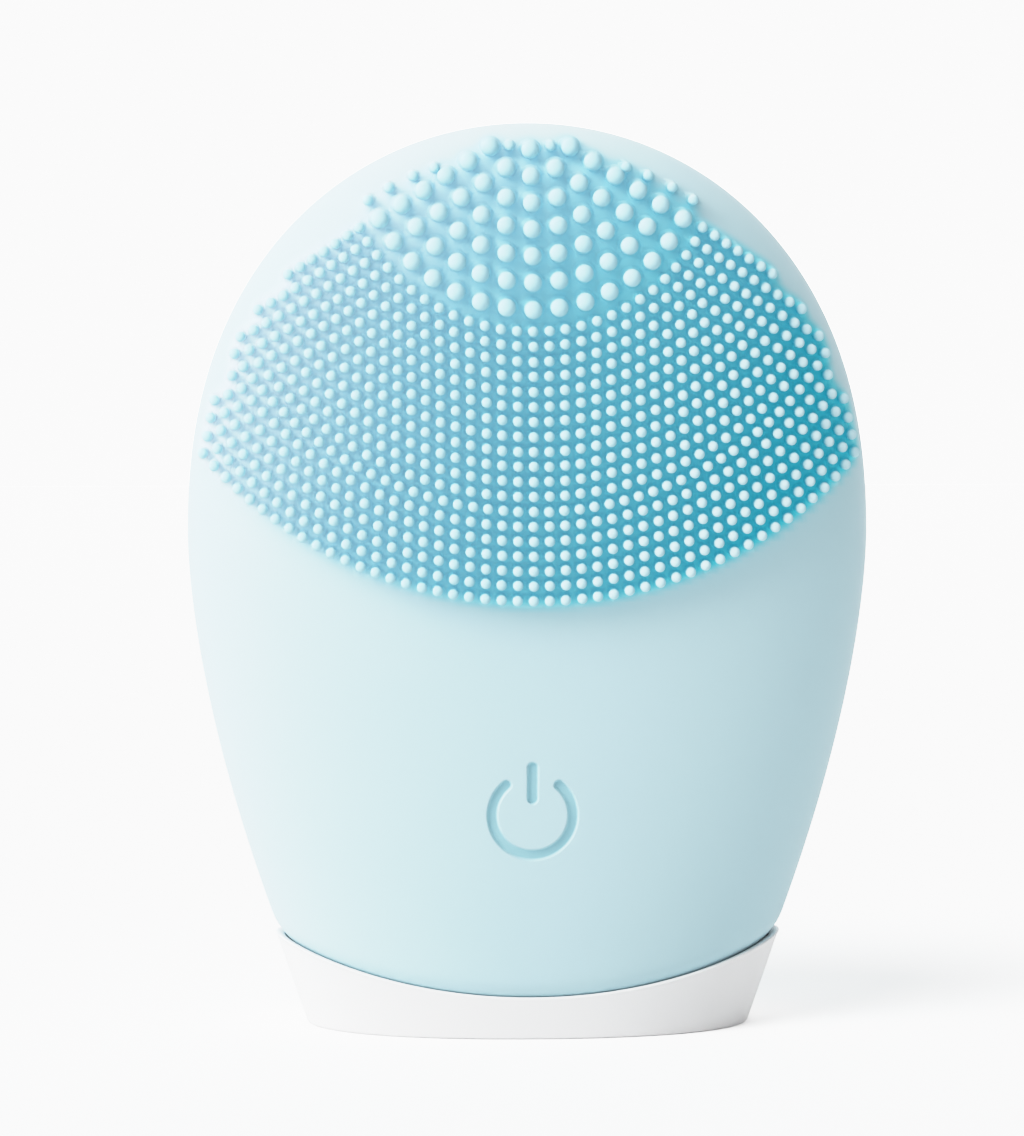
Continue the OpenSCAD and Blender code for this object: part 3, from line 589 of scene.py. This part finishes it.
def set_inputs(tree, node, inputs):
    for name, value in inputs.items():
        feed(tree, node.inputs[name], value)


def object_coords(tree):
    return tree.nodes.new("ShaderNodeTexCoord").outputs["Object"]


def noise(tree, scale, detail):
    node = tree.nodes.new("ShaderNodeTexNoise")
    set_inputs(tree, node, {"Scale": scale, "Detail": detail, "Roughness": 0.5,
                            "Vector": object_coords(tree)})
    return node.outputs["Fac"]


def ramp(tree, fac, stops):
    node = tree.nodes.new("ShaderNodeValToRGB")
    elements = node.color_ramp.elements
    while len(elements) < len(stops):
        elements.new(0.5)
    for element, (position, colour) in zip(elements, stops):
        element.position = position
        element.color = (*colour, 1)
    feed(tree, node.inputs["Fac"], fac)
    return node.outputs["Color"]


def mix(tree, fac, a, b):
    node = tree.nodes.new("ShaderNodeMix")
    node.data_type = "RGBA"
    set_inputs(tree, node, {"Factor": fac, "A": a, "B": b})
    return node.outputs["Result"]


def remap(tree, value, source, target):
    """Maps the range source = (min, max) onto target."""
    node = tree.nodes.new("ShaderNodeMapRange")
    set_inputs(tree, node, {"Value": value, "From Min": source[0], "From Max": source[1],
                            "To Min": target[0], "To Max": target[1]})
    return node.outputs["Result"]


def mottle(tree, scale, detail, low, high):
    """Noise spread over low to high, for roughness."""
    return remap(tree, noise(tree, scale, detail), (0.3, 0.7), (low, high))


def calc(tree, operation, *values):
    node = tree.nodes.new("ShaderNodeMath")
    node.operation = operation
    for socket, value in zip(node.inputs, values):
        feed(tree, socket, value)
    return node.outputs[0]


def bump(tree, height, strength):
    node = tree.nodes.new("ShaderNodeBump")
    set_inputs(tree, node, {"Strength": strength, "Distance": 0.0001, "Height": height})
    return node.outputs["Normal"]


def attr(tree, name):
    node = tree.nodes.new("ShaderNodeAttribute")
    node.attribute_name = name
    return node.outputs["Fac"]


def srgb(*levels):
    """Linear colour from 0-255 levels."""
    shares = [level / 255 for level in levels]
    return tuple(c / 12.92 if c <= 0.04045 else ((c + 0.055) / 1.055) ** 2.4 for c in shares)


# ------------------------------------------------------------------ materials
def silicone_colour(tree, light_to_shade, z):
    plain = mix(tree, noise(tree, 30, 2), srgb(184, 218, 228), srgb(187, 220, 230))
    # painted shade between the touch-points, with painted light and shade across: pale on the lit
    # left, deep teal on the shaded right
    field = ramp(tree, light_to_shade, [(0.0, srgb(186, 212, 227)), (0.3, srgb(144, 199, 217)),
                              (0.6, srgb(116, 196, 211)), (0.9, srgb(64, 183, 199))])
    # painted light: the top of the field is washed paler
    high = remap(tree, z, (0.080, 0.100), (0, 0.4))
    field = mix(tree, high, field, srgb(176, 206, 225))
    colour = mix(tree, attr(tree, "field"), plain, field)
    # painted light: the tips are paler than the shade between them, and their colour also changes
    # from left to right with the painted light
    tips = ramp(tree, light_to_shade, [(0.0, srgb(178, 229, 245)), (0.5, srgb(178, 229, 245)),
                             (1.0, srgb(204, 238, 249))])
    colour = mix(tree, remap(tree, attr(tree, "tip"), (0.3, 0.95), (0, 1)), colour, tips)
    icon = remap(tree, attr(tree, "icon"), (0, 1), (0, 0.6))
    return mix(tree, icon, colour, srgb(132, 188, 203))


def silicone_normal(tree):
    """Fine grain; the tips let light through, so they shade flatter than their form."""
    grain = bump(tree, noise(tree, 2500, 2), strength=0.04)
    flatten = tree.nodes.new("ShaderNodeMix")
    flatten.data_type = "VECTOR"
    tip_share = remap(tree, attr(tree, "tip"), (0.3, 0.9), (0, 0.5))
    fac = calc(tree, "MULTIPLY", attr(tree, "field"), tip_share)
    feed(tree, flatten.inputs["Factor"], fac)
    form, flat = [i for i in flatten.inputs if i.type == "VECTOR" and i.name in ("A", "B")][:2]
    feed(tree, form, grain)
    flat.default_value = (-0.2, -0.95, 0.2)
    unit = tree.nodes.new("ShaderNodeVectorMath")
    unit.operation = "NORMALIZE"
    feed(tree, unit.inputs[0], [o for o in flatten.outputs if o.type == "VECTOR"][0])
    return unit.outputs["Vector"]


def silicone():
    material, tree, shader = new_material("silicone")
    place = tree.nodes.new("ShaderNodeSeparateXYZ")
    feed(tree, place.inputs["Vector"], object_coords(tree))
    # painted light and shade: the colours go from pale on the lit left to deep teal on the shaded
    # right, along a leaning line (metres)
    light_axis = calc(tree, "MULTIPLY_ADD", place.outputs["Z"], -0.35, place.outputs["X"])
    light_to_shade = remap(tree, light_axis, (-0.062, 0.010), (0, 1))
    # painted glow: the silicone between the touch-points glows faintly, standing in for light that
    # travels through them; paler on the lit left, deeper teal on the right
    painted_glow = ramp(tree, light_to_shade, [(0.0, srgb(228, 236, 240)), (0.5, srgb(152, 216, 236)),
                             (0.95, srgb(60, 210, 232))])
    between = remap(tree, attr(tree, "tip"), (0.1, 0.8), (0.2, 0.03))
    set_inputs(tree, shader, {
        "Base Color": silicone_colour(tree, light_to_shade, place.outputs["Z"]),
        "Emission Color": painted_glow,
        "Emission Strength": calc(tree, "MULTIPLY", attr(tree, "field"), between),
        "Roughness": mottle(tree, 400, 4, 0.5, 0.58),
        "Specular IOR Level": 0.35,
        "Sheen Weight": 0.15,
        "Sheen Roughness": 0.5,
        "Normal": silicone_normal(tree),
    })
    return material


def plastic(name, colour1, colour2, roughness, scale, specular, grain):
    material, tree, shader = new_material(name)
    set_inputs(tree, shader, {
        "Base Color": mix(tree, noise(tree, scale, 3), colour1, colour2),
        "Roughness": mottle(tree, scale * 8, 3, roughness - 0.03, roughness + 0.04),
        "Specular IOR Level": specular,
    })
    if grain:
        feed(tree, shader.inputs["Normal"], bump(tree, noise(tree, 2200, 2), grain))
    return material


def metal(name, colour1, colour2, roughness, scale, anisotropy):
    material, tree, shader = new_material(name)
    set_inputs(tree, shader, {
        "Base Color": mix(tree, noise(tree, scale, 4), colour1, colour2),
        "Roughness": mottle(tree, scale * 2, 4, roughness - 0.05, roughness + 0.08),
        "Metallic": 1,
        "Anisotropic": anisotropy,
    })
    return material


def winding(name, wave_type):
    """Copper wire wound in bands along Z or in rings about Z."""
    material, tree, shader = new_material(name)
    wave = tree.nodes.new("ShaderNodeTexWave")
    wave.wave_type = wave_type
    if wave_type == "BANDS":
        wave.bands_direction = "Z"
    else:
        wave.rings_direction = "Z"
    set_inputs(tree, wave, {"Scale": 1500, "Distortion": 0.2, "Vector": object_coords(tree)})
    turns = wave.outputs["Fac"]
    set_inputs(tree, shader, {
        "Base Color": mix(tree, turns, (0.62, 0.24, 0.08), (0.35, 0.12, 0.04)),
        "Roughness": mottle(tree, 500, 2, 0.3 - 0.04, 0.3 + 0.04),
        "Metallic": 0.9,
        "Normal": bump(tree, turns, strength=0.25),
    })
    return material


def board():
    """Green circuit board with angular lighter tracks."""
    material, tree, shader = new_material("pcb")
    cells = tree.nodes.new("ShaderNodeTexVoronoi")
    cells.feature = "DISTANCE_TO_EDGE"
    cells.distance = "MANHATTAN"
    set_inputs(tree, cells, {"Scale": 330, "Vector": object_coords(tree)})
    stops = [(0.0, (0.02, 0.16, 0.08)), (0.06, (0.02, 0.16, 0.08)),
             (0.09, (0.008, 0.075, 0.035)), (1, (0.008, 0.08, 0.038))]
    set_inputs(tree, shader, {"Base Color": ramp(tree, cells.outputs["Distance"], stops),
                              "Roughness": mottle(tree, 200, 3, 0.3, 0.42)})
    return material


# name, two colours, roughness, noise scale, specular level, grain strength
PLASTICS = [
    ("stand_plastic", srgb(247, 247, 247), srgb(244, 244, 245), 0.42, 20, 0.45, 0.015),
    ("pad_rubber", (0.48, 0.49, 0.5), (0.42, 0.43, 0.44), 0.75, 90, 0.3, 0.1),
    ("chip_black", (0.015, 0.015, 0.017), (0.03, 0.03, 0.032), 0.55, 400, 0.4, 0.08),
    ("ferrite", (0.035, 0.035, 0.038), (0.055, 0.053, 0.052), 0.6, 500, 0.4, 0.15),
    ("shell_plastic", srgb(222, 228, 232), srgb(214, 221, 226), 0.5, 30, 0.45, 0.05),
    ("chassis_plastic", (0.07, 0.075, 0.085), (0.09, 0.095, 0.105), 0.52, 60, 0.4, 0.1),
    ("switch_plastic", (0.02, 0.02, 0.022), (0.035, 0.035, 0.04), 0.45, 300, 0.4, 0.05),
    ("led", (0.9, 0.88, 0.72), (0.86, 0.84, 0.66), 0.15, 300, 0.6, 0),
    ("foam", (0.02, 0.02, 0.02), (0.05, 0.05, 0.05), 0.95, 900, 0.2, 0.5),
    ("nylon", (0.78, 0.76, 0.68), (0.7, 0.68, 0.6), 0.5, 60, 0.4, 0.05),
    ("plunger", (0.84, 0.88, 0.9), (0.78, 0.83, 0.86), 0.25, 50, 0.5, 0.02),
    ("wire_red", (0.5, 0.02, 0.015), (0.42, 0.015, 0.012), 0.4, 100, 0.45, 0.02),
    ("wire_black", (0.02, 0.02, 0.02), (0.03, 0.03, 0.03), 0.4, 100, 0.45, 0.02),
]
# name, two colours, roughness, noise scale, anisotropy
METALS = [
    ("screw_steel", (0.6, 0.6, 0.62), (0.48, 0.49, 0.52), 0.32, 300, 0.0),
    ("socket_steel", (0.74, 0.74, 0.75), (0.62, 0.62, 0.64), 0.22, 150, 0.0),
    ("foil", (0.72, 0.73, 0.75), (0.6, 0.61, 0.63), 0.3, 120, 0.0),
    ("motor_steel", (0.64, 0.64, 0.66), (0.52, 0.52, 0.55), 0.28, 400, 0.5),
    ("shaft", (0.72, 0.72, 0.74), (0.64, 0.64, 0.67), 0.16, 500, 0.0),
    ("weight", (0.52, 0.44, 0.28), (0.4, 0.34, 0.22), 0.42, 700, 0.0),
]
# material of each CAD piece that is kept
PIECES = {
    "stand_plastic": ["stand_bottom_cover"],
    "pad_rubber": ["stand_base_pad"],
    "screw_steel": ["stand_screws", "shell_screws", "pcb_screws", "motor_clamp_screws"],
    "pcb": ["stand_pcb", "main_pcb"],
    "chip_black": ["stand_pcb_parts", "main_pcb_parts"],
    "socket_steel": ["usb_socket"],
    "coil": ["transmit_coil"],
    "coil_flat": ["receive_coil"],
    "ferrite": ["transmit_ferrite", "receive_ferrite"],
    "shell_plastic": ["front_shell", "rear_shell"],
    "chassis_plastic": ["chassis", "motor_clamp"],
    "switch_plastic": ["tact_switch", "switch_stem"],
    "led": ["status_led"],
    "foil": ["battery_cell"],
    "foam": ["battery_tape"],
    "motor_steel": ["motor_can"],
    "nylon": ["motor_end_cap"],
    "plunger": ["button_plunger"],
    "shaft": ["motor_shaft"],
    "weight": ["eccentric_weight"],
}


def set_material(obj, name):
    obj.data.materials.clear()
    obj.data.materials.append(materials[name])


skin = build_skin()
pad = build_pad()
stand = build_stand()

materials = {"silicone": silicone(), "pcb": board(),
             "coil": winding("coil", "BANDS"), "coil_flat": winding("coil_flat", "RINGS")}
materials.update({row[0]: plastic(*row) for row in PLASTICS})
materials.update({row[0]: metal(*row) for row in METALS})

for material_name, pieces in PIECES.items():
    for piece in pieces:
        set_material(nodes[piece], material_name)

SLEEVE_NODES = ("silicone_sleeve", "upper_fine_bristles", "lower_fine_bristles",
                "large_bristles")
for obj, material_name, body, replaced in (
        (skin, "silicone", "handpiece", SLEEVE_NODES),
        (pad, "silicone", "power_button", ("button_membrane",)),
        (stand, "stand_plastic", "stand", ("stand_shell",))):
    set_material(obj, material_name)
    obj.data.polygons.foreach_set("material_index", [0] * len(obj.data.polygons))
    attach(obj, body)
    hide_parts(*replaced)


# ------------------------------------------------------------------ leads
def smooth_path(points, steps=10):
    """Catmull-Rom curve through the points."""
    p = np.array(points, float)
    q = np.vstack([2 * p[0] - p[1], p, 2 * p[-1] - p[-2]])
    path = []
    for i in range(1, len(q) - 2):
        a, b, c, d = q[i - 1:i + 3]
        for t in np.linspace(0, 1, steps, endpoint=False):
            square = (2 * a - 5 * b + 4 * c - d) * t * t
            path.append(0.5 * (2 * b + (c - a) * t + square + (3 * b - a - 3 * c + d) * t**3))
    path.append(p[-1])
    return np.array(path)


def leads(name, paths, radius, wire_materials, body, node):
    """Round wires along the paths, each with its own material slot."""
    sides = 12
    angles = ring_angles(sides)
    verts, faces, slots = [], [], []
    base = 0
    for wire, points in enumerate(paths):
        path = smooth_path(points)
        tangents = np.gradient(path, axis=0)
        tangents /= np.linalg.norm(tangents, axis=1)[:, None]
        guide = np.array([0.31, 0.86, 0.4])  # carried along so that the rings don't twist
        for centre, tangent in zip(path, tangents):
            u = np.cross(tangent, guide)
            u /= np.linalg.norm(u)
            v = np.cross(tangent, u)
            guide = guide - tangent * guide.dot(tangent)
            offset = np.cos(angles)[:, None] * u + np.sin(angles)[:, None] * v
            verts.append(centre + radius * offset)
        verts += [path[:1], path[-1:]]
        wire_faces = strand_faces(sides, len(path), base)
        faces += wire_faces
        slots += [wire] * len(wire_faces)
        base += len(path) * sides + 2
    obj = solid(name, np.vstack(verts), faces)
    for material_name in wire_materials:
        obj.data.materials.append(materials[material_name])
    obj.data.polygons.foreach_set("material_index", slots)
    obj.data.set_sharp_from_angle(angle=math.radians(60))
    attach(obj, body)
    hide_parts(node)


leads("transmit_wires",
      [[[s * 3.55, 0, 4.6], [s * 4.6, 0, 3.1], [s * 6, -1.2, 2.27]] for s in (-1, 1)],
      0.15, ["coil", "coil"], "stand", "transmit_leads")
leads("battery_wires",
      [[[s * 0.9 + 12.2, 4.2, 68.25], [s * 0.55 + 13, 2.2, 71.4], [s * 0.55 + 13, -2.4, 71.4],
        [s * 0.55 + 13, -2.8, 50 + s * 0.9], [s * 1.2 + 7.2, -4.6, 46.5],
        [s * 1.2 + 7.2, -4.6, 43.7]] for s in (-1, 1)],
      0.4, ["wire_black", "wire_red"], "handpiece", "battery_leads")
leads("coil_wires",
      [[[s * 8.05, -0.2, 13.65], [s * 8.9, -0.8, 14.05], [s * 9.3, -2, 16.2],
        [s * 8.6 - 1, -4.6, 17.8], [-7.2 + s * 0.9, -4.3, 37],
        [-7.2 + s * 0.9, -4.6, 39.3]] for s in (-1, 1)],
      0.3, ["coil", "coil"], "handpiece", "receive_leads")
leads("motor_wires",
      [[[s * 3, -6.25, 57.1], [s * 2.6, -5.8, 54], [s * 0.9, -4.6, 48],
        [s * 0.9, -4.4, 43.6]] for s in (-1, 1)],
      0.4, ["wire_black", "wire_red"], "handpiece", "motor_leads")

for name in ("front_shell", "rear_shell"):
    nodes[name].data.shade_smooth()
    nodes[name].data.set_sharp_from_angle(angle=math.radians(35))


# ------------------------------------------------------------------ stage (metres)
def floor_sheet(name, drop, shade1, shade2):
    """Floor running up into a backdrop in one smooth sweep."""
    steps, bend_y, bend_r = 40, 0.9, 1.2
    profile = [(-2.5, 0.0), (bend_y, 0.0)]
    for i in range(1, steps + 1):
        turn = math.pi / 2 * i / steps
        profile.append((bend_y + bend_r * math.sin(turn), bend_r * (1 - math.cos(turn))))
    profile.append((bend_y + bend_r, 4.0))
    verts = [(x, y, z - drop) for y, z in profile for x in (-4.0, 4.0)]
    faces = [(2 * i + 1, 2 * i + 3, 2 * i + 2, 2 * i) for i in range(len(profile) - 1)]
    mesh = bpy.data.meshes.new(name)
    mesh.from_pydata(verts, [], faces)
    mesh.shade_smooth()
    obj = bpy.data.objects.new(name, mesh)
    scene.collection.objects.link(obj)
    material, tree, _ = new_material(name)
    diffuse = tree.nodes.new("ShaderNodeBsdfDiffuse")
    colour = mix(tree, noise(tree, 3, 2), (shade1,) * 3, (shade2,) * 3)
    feed(tree, diffuse.inputs["Color"], colour)
    feed(tree, tree.nodes["Material Output"].inputs["Surface"], diffuse.outputs["BSDF"])
    mesh.materials.append(material)
    return obj


# the lower sheet throws light back on the object, the upper one is only for the eye
floor_bounce = floor_sheet("floor_bounce", drop=0.0002, shade1=0.92, shade2=0.91)
floor_seen = floor_sheet("floor_seen", drop=0.0, shade1=2.02, shade2=2.04)
floor_bounce.visible_camera = False
for ray in ("diffuse", "glossy", "transmission", "shadow"):
    setattr(floor_seen, "visible_" + ray, False)


def build_world():
    """White surroundings; the camera sees them as bright as the floor."""
    world = bpy.data.worlds.new("w")
    scene.world = world
    world.use_nodes = True
    tree = world.node_tree
    lighting = tree.nodes["Background"]
    seen = tree.nodes.new("ShaderNodeBackground")
    for background, strength in ((lighting, 0.395), (seen, 2.2)):
        set_inputs(tree, background, {"Color": (1, 1, 1), "Strength": strength})
    path = tree.nodes.new("ShaderNodeLightPath")
    choice = tree.nodes.new("ShaderNodeMixShader")
    sources = (path.outputs["Is Camera Ray"], lighting.outputs[0], seen.outputs[0])
    for socket, source in zip(choice.inputs, sources):
        feed(tree, socket, source)
    feed(tree, tree.nodes["World Output"].inputs["Surface"], choice.outputs["Shader"])


build_world()


def add_light(name, kind, energy, direction):
    """Lamp that shines along the direction."""
    lamp = bpy.data.lights.new(name, kind)
    lamp.energy = energy
    obj = bpy.data.objects.new(name, lamp)
    scene.collection.objects.link(obj)
    obj.rotation_euler = direction.to_track_quat("-Z", "Y").to_euler()
    return obj


def area(name, place, target, size, power):
    obj = add_light(name, "AREA", power, Vector(target) - Vector(place))
    obj.location = place
    obj.data.size = size
    return obj


def sun(name, strength):
    obj = add_light(name, "SUN", strength, -Vector((-0.35, -0.40, 0.85)))
    obj.data.angle = math.radians(28)
    return obj


def receivers(light, objects, state):
    """The light falls on these objects only (INCLUDE) or on all but these (EXCLUDE)."""
    group = bpy.data.collections.new(light.name + "_receivers")
    for obj in objects:
        group.objects.link(obj)
    light.light_linking.receiver_collection = group
    for member in group.collection_objects:
        member.light_linking.link_state = state


key = area("key", (-1.27, -0.56, 0.86), (0, 0, 0.05), size=1.0, power=32.0)
backdrop = area("backdrop", (0.0, 0.9, 1.6), (0, 1.7, 0.4), size=1.6, power=30.0)
top = sun("top", strength=1.0)
floor_sun = sun("floor_sun", strength=1.64)
sweep = area("sweep", (0.0, 0.95, 1.2), (0, 2.1, 1.2), size=2.4, power=30.0)
receivers(key, [floor_seen], "EXCLUDE")
receivers(backdrop, [floor_seen], "EXCLUDE")
receivers(top, [floor_bounce, floor_seen], "EXCLUDE")
receivers(sweep, [floor_seen], "INCLUDE")
receivers(floor_sun, [floor_seen], "INCLUDE")

# ------------------------------------------------------------------ tone curve
WHITE = 4.0
# scene brightness, shown brightness
TONES = [(0.3, 0.3), (0.56, 0.56), (0.84, 0.75), (1.05, 0.835), (1.5, 0.91), (1.8, 0.945),
         (2.05, 0.957)]
view = scene.view_settings
view.view_transform = "Standard"
view.look = "None"
view.exposure = 0.0
view.use_curve_mapping = True
mapping = view.curve_mapping
mapping.white_level = (WHITE,) * 3
mapping.black_level = (0.0,) * 3
mapping.use_clip = True
curve = mapping.curves[3]
curve.points[0].location = (0.0, 0.0)
curve.points[1].location = (1.0, TONES[-1][1])
for bright, shown in TONES:
    curve.points.new(bright / WHITE, shown)
mapping.update()

# ------------------------------------------------------------------ camera (metres)
DISTANCE, ELEVATION, YAW = 0.600, math.radians(4.7), math.radians(2.0)
VIEW_WIDTH = 0.1211392                    # width in view at the target
AIM_Z, AIM_SHIFT = 0.05385, -0.00183365   # height of the target, its shift to the right
camera = bpy.data.cameras.new("cam")
camera_obj = bpy.data.objects.new("cam", camera)
scene.collection.objects.link(camera_obj)
back = Vector((-math.sin(YAW) * math.cos(ELEVATION), -math.cos(YAW) * math.cos(ELEVATION),
               math.sin(ELEVATION)))
right = Vector((math.cos(YAW), -math.sin(YAW), 0))
camera_obj.location = Vector((0, 0, AIM_Z)) + right * AIM_SHIFT + back * DISTANCE
camera_obj.rotation_euler = (-back).to_track_quat("-Z", "Y").to_euler()
camera.sensor_fit = "HORIZONTAL"
camera.sensor_width = 36.0
camera.lens = camera.sensor_width * DISTANCE / VIEW_WIDTH
camera.clip_start = 0.01
camera.clip_end = 20
scene.camera = camera_obj
